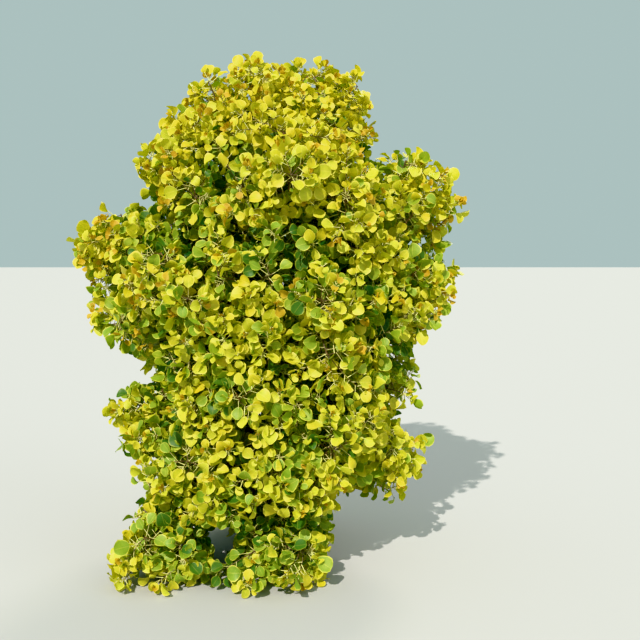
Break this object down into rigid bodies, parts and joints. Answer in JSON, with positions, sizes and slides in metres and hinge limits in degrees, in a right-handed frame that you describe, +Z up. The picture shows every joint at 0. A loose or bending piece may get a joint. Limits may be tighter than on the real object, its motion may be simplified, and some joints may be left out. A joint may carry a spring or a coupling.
{
  "type": "smoke bush",
  "caption": "Upright flowering shrub in full golden leaf: a short stem forks into slim boughs, and each ends in a mass of round leaves, from the ground to the top.",
  "frame": {"origin": "middle of the flat cut under the stem, at ground level", "axes": "+Z up, +X to the right of someone who faces the side that the picture shows, +Y away from them"},
  "size_m": [1.8143, 1.2978, 2.3349],
  "materials": {
    "bark": "rough bark",
    "leaves": "satin leaf"
  },
  "bodies": {
    "root": {"stem": "bark", "bough_crown_top": "bark", "foliage_crown_top": "leaves", "bough_right_shoulder": "bark", "foliage_right_shoulder": "leaves", "bough_left_shoulder": "bark", "foliage_left_shoulder": "leaves", "bough_back_right": "bark", "foliage_back_right": "leaves", "bough_back_left": "bark", "foliage_back_left": "leaves", "bough_front_right": "bark", "foliage_front_right": "leaves", "bough_front_left": "bark", "foliage_front_left": "leaves", "bough_crown_right": "bark", "foliage_crown_right": "leaves", "bough_crown_left": "bark", "foliage_crown_left": "leaves", "bough_upper_left": "bark", "foliage_upper_left": "leaves", "bough_front_upper": "bark", "foliage_front_upper": "leaves", "bough_back_upper": "bark", "foliage_back_upper": "leaves", "bough_mid_right": "bark", "foliage_mid_right": "leaves", "bough_right_middle": "bark", "foliage_right_middle": "leaves", "bough_right_low": "bark", "foliage_right_low": "leaves", "bough_right_foot": "bark", "foliage_right_foot": "leaves", "bough_left_middle": "bark", "foliage_left_middle": "leaves", "bough_left_low": "bark", "foliage_left_low": "leaves", "bough_mid_left": "bark", "foliage_mid_left": "leaves", "bough_front_waist": "bark", "foliage_front_waist": "leaves", "bough_foot_left": "bark", "foliage_foot_left": "leaves", "bough_front_middle": "bark", "foliage_front_middle": "leaves", "bough_front_low": "bark", "foliage_front_low": "leaves", "bough_back_shoulder": "bark", "foliage_back_shoulder": "leaves", "bough_back_low_left": "bark", "foliage_back_low_left": "leaves", "bough_back_low_right": "bark", "foliage_back_low_right": "leaves", "bough_skirt_left": "bark", "foliage_skirt_left": "leaves", "bough_skirt_front": "bark", "foliage_skirt_front": "leaves", "bough_skirt_back": "bark", "foliage_skirt_back": "leaves"}
  },
  "joints": []
}
